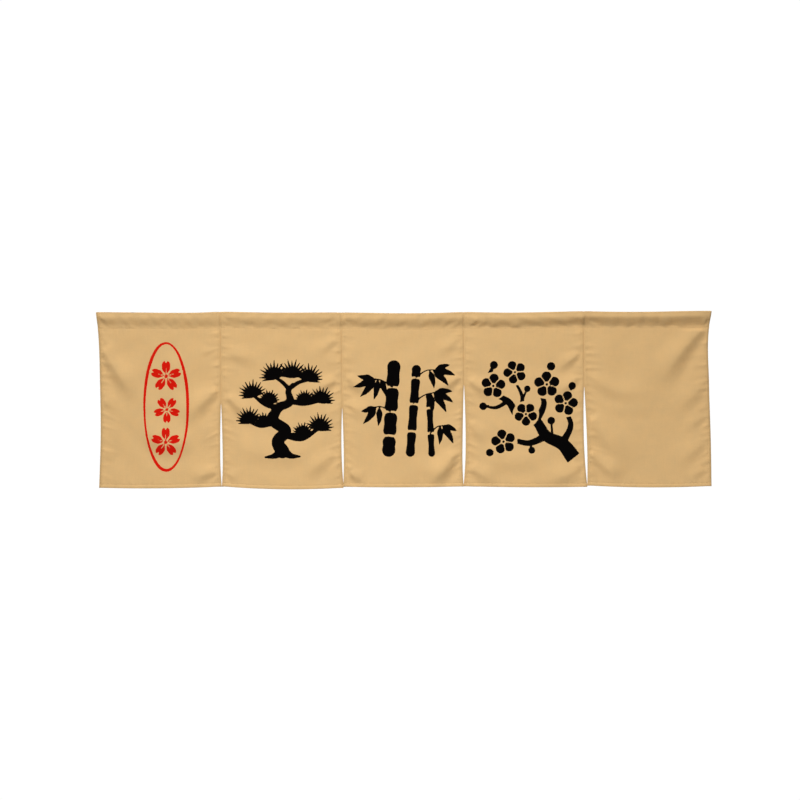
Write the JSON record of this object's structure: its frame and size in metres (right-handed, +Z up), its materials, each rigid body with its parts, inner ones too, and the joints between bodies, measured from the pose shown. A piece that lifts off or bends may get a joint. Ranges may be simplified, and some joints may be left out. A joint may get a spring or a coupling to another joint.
{
  "type": "noren door curtain",
  "caption": "Short shop-door curtain of sewn cloth panels with slits between them, hung from a rod sleeve along its top edge.",
  "frame": {"origin": "middle of the top edge, on the fold over the rod sleeve", "axes": "+X to the right as seen from the front, -Y towards the viewer, +Z up"},
  "size_m": [1.7025, 0.0246, 0.4921],
  "materials": {
    "noren_cloth": "matt plain-weave tan polyester, printed in black and red",
    "stitching": "tan sewing thread with a slight sheen"
  },
  "bodies": {
    "root": {"sleeve_1": "noren_cloth", "sleeve_2": "noren_cloth", "sleeve_3": "noren_cloth", "sleeve_4": "noren_cloth", "sleeve_5": "noren_cloth", "panel_1": "noren_cloth", "panel_2": "noren_cloth", "panel_3": "noren_cloth", "panel_4": "noren_cloth", "panel_5": "noren_cloth"}
  },
  "joints": []
}
